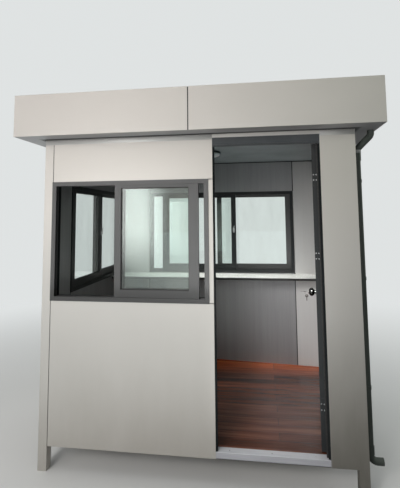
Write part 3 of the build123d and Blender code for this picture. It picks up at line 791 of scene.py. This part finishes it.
def cross_screw(radius, height):
    """A screw head that points up, with a cross sunk into it."""
    head = round_bar(16, radius, height, (0, 0, height / 2))
    inset_end(head, (0, 0, 1), (radius * 0.35, height * 0.25))
    for turned in (0, math.pi / 2):
        cut_out(head, block((0, 0, height * 1.25), (radius * 1.1, radius * 0.26, height * 1.1), turned))
    bpy.ops.object.shade_smooth_by_angle(angle=smooth_angle)
    return head


def copied(master, places):
    """Copies of a piece that points up, each with its own mesh, at (place, direction)."""
    copies = []
    for place, direction in places:
        copy = master.copy()
        copy.data = master.data.copy()
        scene.collection.objects.link(copy)
        turned = Vector(direction).to_track_quat("Z", "Y").to_matrix().to_4x4()
        copy.matrix_world = Matrix.Translation(place) @ turned @ master.matrix_world
        copies.append(copy)
        apply_place(copy)
    return copies


die_cast = plain_finish("die_cast_metal", (300, 300, 300), 3, (0.56, 0.57, 0.58), (0.72, 0.73, 0.74),
                        0.22, 0.34, 0.00005, 0.0005, Metallic=1.0)

plate_radius, plate_depth, plate_stretch = 0.011, 0.003, (0.9, 2.3, 1.0)
plate = round_bar(32, plate_radius, plate_depth, (0, 0, plate_depth / 2))
plate.scale = plate_stretch
softened(plate, 0.001)
hub_radius, hub_depth, hub_middle = 0.0095, 0.011, 0.0075
hub = round_bar(32, hub_radius, hub_depth, (0, 0, hub_middle))
inset_end(hub, (0, 0, 1), (0.002, 0), (0.0015, -0.001))
softened(hub, 0.0006)
lever_root = (0.008, 0.016, 0.004)
lever = block((0.0, 0.011, 0.0115), lever_root)
picked(lever, lambda face: face.normal.y > 0.9)
for shift, swell in (((0.0015, 0.009, 0.001), 1.15), ((0.003, 0.008, 0.002), 1.2),
                     ((0.004, 0.006, 0.002), 0.8)):
    drawn_out(shift, (swell, 1, swell))
softened(lever, 0.0015, 3)
screw_head = cross_screw(0.0030, 0.0016)
latch_screws = copied(screw_head, [((0, y, 0.0028), (0, 0, 1)) for y in (-0.018, 0.0195)])
latch = merged([plate, hub, lever] + latch_screws)

closes_left = {"front": True, "right": True, "back": False, "left": False}
inner_track = 0.04
meeting_stile = 0.042
latch_rise = 0.40
for side in sides:
    low, high = [box for box in boxes_in_wall(side + "_window_sashes", side) if box[1].y > inner_track][0]
    x = high.x - meeting_stile / 2 if closes_left[side] else low.x + meeting_stile / 2
    one = copied(latch, [((x, high.y, low.z + latch_rise), (0, 1, 0))])
    joined(one, side + "_sash_latch", die_cast, wall_place(side))
bpy.data.objects.remove(latch)

# The pinned hinges are steel, sprayed with the same black coat as the door. Their
# knuckles stand off the leaf's edge and the jamb.
dress(door_coat, "frame_hinges", "leaf_hinges")

# What rides on the door is made on the closed leaf, in the front wall, and then
# turned about the pin line to the open position that it stands in.
pin_line = Vector((0.7845, -0.676, 0.0))
opened = (Matrix.Translation(pin_line) @ Matrix.Rotation(math.radians(-98), 4, "Z")
          @ Matrix.Translation(-pin_line))
closed_x = (0.139, 0.782)
closed_y = (-0.712, -0.682)
closed_z = (0.198, 2.028)

# Round knobs of polished metal on both faces of the leaf, toned dark as a painted
# reflection of the room: a rose, a short neck and a fat ball with a flat face.
knob_x = closed_x[0] + 0.060
knob_z = 1.014
knob_reach = 0.060
rose_radius, rose_depth = 0.031, 0.006
rose_slope, rose_rise = 0.004, 0.002
neck_radius, neck_end = 0.012, 0.018
ball_radius, ball_half, ball_sink = 0.0300, 0.0228, 0.88
ball_steps, first_lean, lean_step = 17, -62, 7.4
knob_face_radius = 0.0155
# The metal is toned dark, a painted reflection of the dark room round the knob.
knob_metal = plain_finish("dark_polished_metal", (160, 160, 160), 3, (0.10, 0.10, 0.10), (0.15, 0.15, 0.148),
                          0.07, 0.13, Metallic=1.0)
knob = round_bar(64, rose_radius, rose_depth, (0, 0, rose_depth / 2))
picked(knob, lambda face: face.normal.z > 0.9)
bpy.ops.mesh.inset(thickness=rose_slope, depth=rose_rise)
rings = [(rose_depth + rose_rise, neck_radius), (neck_end, neck_radius)]
for step in range(ball_steps):
    lean = math.radians(first_lean + step * lean_step)
    rings.append((knob_reach - ball_half * (ball_sink - math.sin(lean)), ball_radius * math.cos(lean)))
rings.append((knob_reach, knob_face_radius))
height, radius = rose_depth + rose_rise, rose_radius - rose_slope
for next_height, next_radius in rings:
    drawn_out((0, 0, next_height - height), (next_radius / radius, next_radius / radius, 1))
    height, radius = next_height, next_radius
bpy.ops.mesh.inset(thickness=0.0015, depth=-0.0006)
softened(knob, 0.0006)
pair = copied(knob, [((knob_x, y, knob_z), (0, way, 0)) for y, way in zip(closed_y, (-1, 1))])
bpy.data.objects.remove(knob)
both = joined(pair, "door_knobs", knob_metal, opened, "door")
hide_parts("door_knob")

# Each hinge plate is held by four bright countersunk steel screws with crossed
# slots, sunk below the face of the plate.
hinge_heights = (0.449, 1.333, 1.818)
leaf_plate_x, frame_plate_x, plate_middle = 0.784, 0.785, -0.6955
screw_sunk, screw_side, screw_rise = 0.0008, 0.0085, 0.017
flat_screw = cross_screw(0.0040, 0.0008)
leaf_places = []
frame_places = []
for z in hinge_heights:
    for dy in (-screw_side, screw_side):
        for dz in (-screw_rise, screw_rise):
            leaf_places.append(((leaf_plate_x - screw_sunk, plate_middle + dy, z + dz), (1, 0, 0)))
            frame_places.append(((frame_plate_x + screw_sunk, plate_middle + dy, z + dz), (-1, 0, 0)))
joined(copied(flat_screw, leaf_places), "leaf_hinge_screws", die_cast, opened, "door")
joined(copied(flat_screw, frame_places), "frame_hinge_screws", die_cast)

# A round black plastic plug closes a drilled hole near the top of the leaf's hinge
# edge. It is pressed in and stands a little proud.
plug_z = 2.019
edge_middle = -0.697
cap = round_bar(24, 0.0055, 0.0012, (closed_x[1] + 0.0004, edge_middle, plug_z), "X")
inset_end(cap, (1, 0, 0), (0.0015, 0), (0.0006, -0.0008))
softened(cap, 0.0003)
joined([cap], "door_edge_plug", rubber, opened, "door")

# The pane of the door has the same rubber seals as the windows, thicker and pressed
# in from both faces of the leaf.
leaf_stile = 0.092
lower_part, middle_rail = 0.770, 0.090
light_low = closed_z[0] + lower_part + middle_rail
light_high = closed_z[1] - leaf_stile
half_pane = 0.0025
door_seal = 0.005
seals = []
pane_middle = (closed_y[0] + closed_y[1]) / 2
for way in (-1, 1):
    face = pane_middle + way * half_pane
    seals.append(flat_ring(closed_x[0] + leaf_stile, closed_x[1] - leaf_stile, light_low, light_high,
                           door_seal, face, face + way * door_seal))
    softened(seals[-1], 0.0015)
joined(seals, "door_glass_seals", rubber, opened, "door")

# A rubber bead is pressed along the stop lips of the door frame, up both jambs and
# across the head. The shut leaf lies against it.
stop_back, stop_depth = -0.720, 0.004
stop_foot, stop_under, stop_head = 0.191, 2.0235, 2.0285
lock_lip, hinge_lip = (0.1345, 0.1405), (0.7700, 0.7835)
beads = []
for x0, x1, z0, z1 in ((*lock_lip, stop_foot, stop_head), (*hinge_lip, stop_foot, stop_head),
                       (lock_lip[1], hinge_lip[0], stop_under, stop_head)):
    strip = block(((x0 + x1) / 2, stop_back + stop_depth / 2, (z0 + z1) / 2), (x1 - x0, stop_depth, z1 - z0))
    beads.append(softened(strip, 0.0018, 3))
joined(beads, "door_stop_seal", rubber)

# The lock cylinder: a keyed plug of bright metal in the face of the outer knob and
# a small turn in the face of the inner one.
outer_face = closed_y[0] - knob_reach
inner_face = closed_y[1] + knob_reach
plug = round_bar(40, 0.0085, 0.003, (knob_x, outer_face - 0.0015, knob_z), "Y")
inset_end(plug, (0, -1, 0), (0.0012, 0), (0.0010, -0.0008))
softened(plug, 0.0004)
turn = round_bar(40, 0.0075, 0.004, (knob_x, inner_face + 0.002, knob_z), "Y")
picked(turn, lambda face: face.normal.y > 0.9)
bpy.ops.mesh.inset(thickness=0.001, depth=0)
drawn_out((0, 0.009, 0), (0.28, 1, 1))
softened(turn, 0.0006)
joined([plug, turn], "door_lock_cylinder", die_cast, opened, "door")

# Two cut keys of worn nickel, toned dark as painted shade, on a split ring of two
# coils. One key is in the lock, the other hangs from the ring.
# The keys' dark tone is a painted shade on nickel.
nickel_painted_shade = plain_finish("nickel_painted_shade", (220, 220, 220), 4, (0.12, 0.11, 0.105), (0.24, 0.22, 0.21),
                           0.28, 0.42, Metallic=0.9)
bow_thickness = 0.0022 * 0.86
key_width, key_thickness = 0.0068, 0.0020
tooth_edge, tooth_depth = 0.0033, 0.0021


def flat_key(length, bow):
    """A key that hangs down from its bow: a holed round bow and a toothed blade."""
    head = round_bar(28, bow, bow_thickness, (0, 0, -bow), "Y")
    cut_out(head, round_bar(16, bow * 0.28, 0.01, (0, 0, -bow * 0.55), "Y"))
    shoulder = -bow * 1.8
    blade = block((0, 0, shoulder - length / 2), (key_width, key_thickness, length))
    bpy.ops.object.mode_set(mode="EDIT")
    bpy.ops.mesh.select_all(action="SELECT")
    bpy.ops.mesh.subdivide(number_cuts=9)
    bpy.ops.object.mode_set(mode="OBJECT")
    for vertex in blade.data.vertices:
        if vertex.co.x > tooth_edge:
            step = int(round((vertex.co.z - shoulder) / length * 10))
            vertex.co.x -= tooth_depth * ((step * 7) % 3) / 2
    return softened(merged([head, blade]), 0.0003)


in_lock = flat_key(0.024, 0.0100)
in_lock.matrix_world = (Matrix.Translation((knob_x, outer_face - 0.0190, knob_z))
                        @ Matrix.Rotation(math.radians(-90), 4, "X"))
apply_place(in_lock)
ring_radius, wire_radius = 0.0125, 0.0008
ring_y, ring_z = outer_face - 0.0165, knob_z - 0.0115
coils = []
for shift, tilt in ((0.0, 0.0), (0.0016, 0.05)):
    bpy.ops.mesh.primitive_torus_add(major_radius=ring_radius, minor_radius=wire_radius,
                                     major_segments=40, minor_segments=8,
                                     location=(knob_x + shift, ring_y, ring_z),
                                     rotation=(0, math.pi / 2, tilt))
    coils.append(bpy.context.object)
    apply_place(coils[-1])
hung = flat_key(0.027, 0.0120)
hung.matrix_world = (Matrix.Translation((knob_x + 0.0008, ring_y, knob_z - 0.0190))
                     @ Matrix.Rotation(math.radians(8), 4, "Y") @ Matrix.Rotation(math.radians(90), 4, "Z"))
apply_place(hung)
joined([in_lock] + coils + [hung], "door_keys", nickel_painted_shade, opened, "door")


# The latch is a sprung bolt in a face plate on the leaf's edge, and a strike plate
# on the jamb takes it. Both plates are bright metal, each on two screws.
def holed_plate(x, y0, y1, z0, z1, rise, hole_y, hole_z):
    """A thin plate that faces along X at x, with a rectangular hole."""
    bpy.ops.mesh.primitive_plane_add(size=1, location=(x, (y0 + y1) / 2, (z0 + z1) / 2),
                                     rotation=(0, math.pi / 2, 0))
    made = bpy.context.object
    made.scale = (z1 - z0, y1 - y0, 1)
    apply_place(made)
    for point, normal in [((x, y, 0), (0, 1, 0)) for y in hole_y] + [((x, 0, z), (0, 0, 1)) for z in hole_z]:
        bpy.ops.object.mode_set(mode="EDIT")
        bpy.ops.mesh.select_all(action="SELECT")
        bpy.ops.mesh.bisect(plane_co=point, plane_no=normal)
        bpy.ops.object.mode_set(mode="OBJECT")
    picked(made, lambda face: (hole_y[0] < face.center.y < hole_y[1]
                               and hole_z[0] < face.center.z < hole_z[1]))
    bpy.ops.mesh.delete(type="FACE")
    bpy.ops.mesh.select_all(action="SELECT")
    bpy.ops.mesh.extrude_region_move(TRANSFORM_OT_translate={"value": (rise, 0, 0)})
    bpy.ops.mesh.select_all(action="SELECT")
    bpy.ops.mesh.normals_make_consistent(inside=False)
    return softened(made, 0.0003)


plate_y = (-0.708, -0.686)
plate_z = (knob_z - 0.0285, knob_z + 0.0285)
plate_rise = 0.0008
hole_y = (-0.703, -0.691)
jamb_face = 0.134
screw_rises = (-0.021, 0.021)
face_plate = holed_plate(closed_x[0], *plate_y, *plate_z, -plate_rise, hole_y,
                         (knob_z - 0.010, knob_z + 0.010))
bolt = block((closed_x[0] - 0.0008, edge_middle, knob_z), (0.0032, 0.0112, 0.0190))
picked(bolt, lambda face: face.normal.x < -0.9)
bpy.ops.transform.resize(value=(1, 0.7, 0.96))
softened(bolt, 0.0006)
edge_screws = copied(flat_screw, [((closed_x[0] - plate_rise / 2, edge_middle, knob_z + rise), (-1, 0, 0))
                                  for rise in screw_rises])
joined([face_plate, bolt] + edge_screws, "door_latch_bolt", die_cast, opened, "door")

strike = holed_plate(jamb_face, *plate_y, *plate_z, plate_rise, hole_y, (knob_z - 0.011, knob_z + 0.011))
strike_screws = copied(flat_screw, [((jamb_face + plate_rise / 2, edge_middle, knob_z + rise), (1, 0, 0))
                                    for rise in screw_rises])
joined([strike] + strike_screws, "door_strike_plate", die_cast)

# The threshold plate is fixed to the base with three countersunk screws, sunk level
# with its top.
sill_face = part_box("door_threshold")[1][2]
screw_line = -0.712
sill_places = [((x, screw_line, sill_face - 0.0004), (0, 0, 1)) for x in (0.21, 0.46, 0.71)]
joined(copied(flat_screw, sill_places), "door_sill_screws", die_cast)

# The counter is a board faced with light laminate. A dark plastic band is pressed on
# its front edge.
counter_low, counter_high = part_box("counter")
band_depth, band_over = 0.0018, 0.0016
band = block((0, counter_low[1] - band_depth / 2, (counter_low[2] + counter_high[2]) / 2),
             (counter_high[0] - counter_low[0], band_depth, counter_high[2] - counter_low[2] + band_over))
inset_end(band, (0, -1, 0), (0.003, 0.0010))
softened(band, 0.0005)
joined([band], "counter_edge_band", rubber)

counter_sheet = plain_finish("counter_sheet", (3, 160, 160), 4, (0.84, 0.86, 0.83), (0.92, 0.93, 0.90),
                             0.22, 0.32, 0.00003, 0.001)
dress(counter_sheet, "counter")

# The ceiling is lined with smooth board in a pale grey-blue, whose slight gloss
# mirrors the room.
lining = plain_finish("ceiling_panel", (3, 3, 3), 3, (0.27, 0.31, 0.33), (0.33, 0.37, 0.39), Roughness=0.25)
dress(lining, "ceiling_panel")

# The ceiling light is a flat round lamp: a dark metal rim that is screwed to the
# ceiling and a dome of white opal plastic pressed into it. It isn't lit.
opal = new_finish("opal_plastic", Roughness=0.35, Subsurface_Weight=0.2, Base_Color=(0.80, 0.84, 0.83, 1))[0]
rim_metal = plain_finish("lamp_rim", (90, 90, 90), 3, (0.055, 0.075, 0.078), (0.085, 0.105, 0.108),
                         0.3, 0.42, Metallic=0.6)
light_low, light_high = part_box("ceiling_light")
light_radius = (light_high[0] - light_low[0]) / 2
rim_share, rim_wall, rim_groove = 0.42, 0.006, 0.003
rim_depth = (light_high[2] - light_low[2]) * rim_share
base = round_bar(96, light_radius, rim_depth, (0, 0, light_high[2] - rim_depth / 2))
picked(base, lambda face: face.normal.z < -0.9)
bpy.ops.mesh.inset(thickness=rim_wall, depth=0.0)
drawn_out((0, 0, rim_groove))
softened(base, 0.0015, 3)
rim = joined([base], "ceiling_light_rim", rim_metal)
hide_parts("ceiling_light")
dome_gap, dome_foot = 0.0075, 0.008
dome = round_bar(96, light_radius - dome_gap, dome_foot, (0, 0, light_high[2] - rim_depth - 0.002))
picked(dome, lambda face: face.normal.z < -0.9)
for drop, share in ((0.005, 0.97), (0.005, 0.93), (0.004, 0.85), (0.0022, 0.70), (0.0008, 0.45)):
    drawn_out((0, 0, -drop), (share, share, 1))
bpy.ops.object.mode_set(mode="OBJECT")
bpy.ops.object.shade_smooth_by_angle(angle=math.radians(40))
dome = joined([dome], "ceiling_light_dome", opal)
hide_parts("ceiling_light")

# The soffit is lined with the same sheet, fixed from below, toned darker as a
# painted shade of the underside. Close to the walls, by the sealant bead, it is
# painted darker still, a painted shade in the corner.
shade_full_to, shade_none_from = 0.018, 0.042
soffit, tree, shader = new_finish("soffit_sheet", Metallic=0.6)
haze = grain(tree, (6, 6, 6), detail=4)
# The soffit's tone is darker than the wall sheet: a painted shade of the underside.
soffit_painted_shade_tone = tones(haze, (0.3, (0.33, 0.33, 0.335)), (0.7, (0.40, 0.40, 0.405)))
off_x = worked("SUBTRACT", worked("ABSOLUTE", coordinate(tree, "X")), wall_x)
off_y = worked("SUBTRACT", worked("ABSOLUTE", coordinate(tree, "Y")), wall_y)
# Close to the walls it is painted darker: a painted shade in the corner.
corner_painted_shade = between(worked("MAXIMUM", off_x, off_y), shade_full_to, shade_none_from, 1.0, 0.0, smooth=True)
feed(shader, Base_Color=mixed(corner_painted_shade, soffit_painted_shade_tone, (0.055, 0.056, 0.056)),
     Roughness=between(haze, 0.3, 0.7, 0.4, 0.55))
relief(shader, haze, 0.0003, 0.001)
dress(soffit, "soffit")

# The roof is ribbed steel sheet with a pale grey-blue coating, weathered in streaks
# along its ribs.
sheet = plain_finish("roof_coating", (1.5, 20, 20), 5, (0.34, 0.38, 0.40), (0.46, 0.50, 0.52),
                     0.32, 0.5, 0.0003, 0.002, Metallic=0.3)
dress(sheet, "roof_sheet")

# The sheet is screwed to the packers through its ribs. Each screw has a six-sided
# head and a washer.
washer_depth, head_depth, head_middle = 0.0022, 0.0055, 0.0048
washer = softened(round_bar(20, 0.0095, washer_depth, (0, 0, washer_depth / 2)), 0.0007)
hexagon = softened(round_bar(6, 0.0058, head_depth, (0, 0, head_middle)), 0.0006)
roof_screw = merged([washer, hexagon])
rib_pitch = 0.240
above_roof = 3.0
roof_places = []
for x in (-0.85, 0.0, 0.85):
    for step in range(-3, 3):
        start = Vector((x, (step + 0.5) * rib_pitch, above_roof))
        hit, spot, normal, _ = nodes["roof_sheet"].ray_cast(start, Vector((0, 0, -1)))
        if hit:
            roof_places.append((spot, normal))
joined(copied(roof_screw, roof_places), "roof_screws", die_cast)
bpy.data.objects.remove(roof_screw)

# The downspout is plastic pipe in a dull dark green-grey. Clips of the same plastic
# hold it to the wall.
pipe = plain_finish("pipe_plastic", (20, 20, 4), 4, (0.028, 0.036, 0.031), (0.050, 0.060, 0.053), 0.38, 0.55)
dress(pipe, "downspout", "downspout_clips")

# A pale sealing ring sits on the coupling below the upper bend. It is a short
# sleeve round the pipe.
coupling_top = 1.963
ring_height = 0.020
pipe_x, pipe_y, pipe_radius = 1.025, -0.653, 0.021
sleeve = 0.0045
collar = round_bar(48, pipe_radius + sleeve, ring_height, (pipe_x, pipe_y, coupling_top + ring_height / 2))
picked(collar, lambda face: abs(face.normal.z) > 0.9)
bpy.ops.mesh.inset(thickness=sleeve, depth=0)
bpy.ops.mesh.delete(type="FACE")
bpy.ops.mesh.select_all(action="SELECT")
bpy.ops.object.mode_set(mode="OBJECT")
thick = collar.modifiers.new("wall", "SOLIDIFY")
thick.thickness = 0.003
thick.offset = -1
apply_place(collar)
bpy.ops.object.modifier_apply(modifier="wall")
softened(collar, 0.0008)
joined([collar], "downspout_ring", zinc)

for spare in (screw_head, flat_screw):
    bpy.data.objects.remove(spare)
